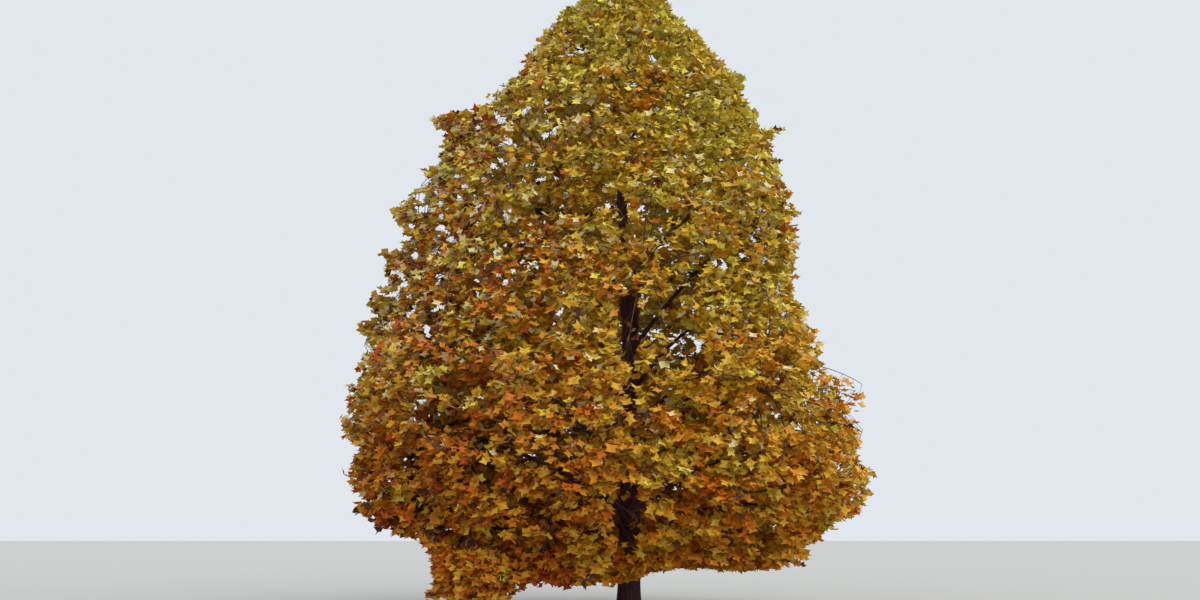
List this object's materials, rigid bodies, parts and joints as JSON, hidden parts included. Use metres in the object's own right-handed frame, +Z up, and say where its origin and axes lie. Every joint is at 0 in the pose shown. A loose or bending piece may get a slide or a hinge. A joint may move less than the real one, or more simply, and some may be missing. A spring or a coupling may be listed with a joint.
{
  "type": "tulip tree",
  "caption": "Broad-crowned tulip tree in autumn leaf, with a flared trunk, rising boughs and separate masses of foliage",
  "frame": {"origin": "centre of the flat cut under the trunk, at ground level", "axes": "+Z up along the trunk; +X is the tree's right and -Y its front, as the picture shows them"},
  "size_m": [9.391, 9.0326, 12.3667],
  "materials": {
    "bark": "rough, finely ridged, dark grey-brown bark",
    "leaves_olive": "soft satin leaf, olive and green-yellow, of the crown's top",
    "leaves_gold": "soft satin leaf, gold, of the crown's middle",
    "leaves_amber": "soft satin leaf, amber and orange, of the crown's foot"
  },
  "bodies": {
    "root": {"bough_01": "bark", "bough_02": "bark", "bough_03": "bark", "bough_04": "bark", "bough_05": "bark", "bough_06": "bark", "bough_07": "bark", "bough_08": "bark", "bough_09": "bark", "bough_10": "bark", "bough_11": "bark", "bough_12": "bark", "bough_13": "bark", "bough_14": "bark", "bough_15": "bark", "bough_16": "bark", "foliage_01": "leaves_amber", "foliage_02": "leaves_amber", "foliage_03": "leaves_amber", "foliage_04": "leaves_amber", "foliage_05": "leaves_amber", "foliage_06": "leaves_amber", "foliage_07": "leaves_amber", "foliage_08": "leaves_amber", "foliage_09": "leaves_gold", "foliage_10": "leaves_gold", "foliage_11": "leaves_gold", "foliage_12": "leaves_gold", "foliage_13": "leaves_gold", "foliage_14": "leaves_gold", "foliage_15": "leaves_gold", "foliage_16": "leaves_gold", "foliage_17": "leaves_gold", "foliage_18": "leaves_gold", "foliage_19": "leaves_olive", "foliage_20": "leaves_olive", "foliage_21": "leaves_olive", "foliage_22": "leaves_olive", "foliage_top": "leaves_olive", "trunk": "bark"}
  },
  "joints": []
}
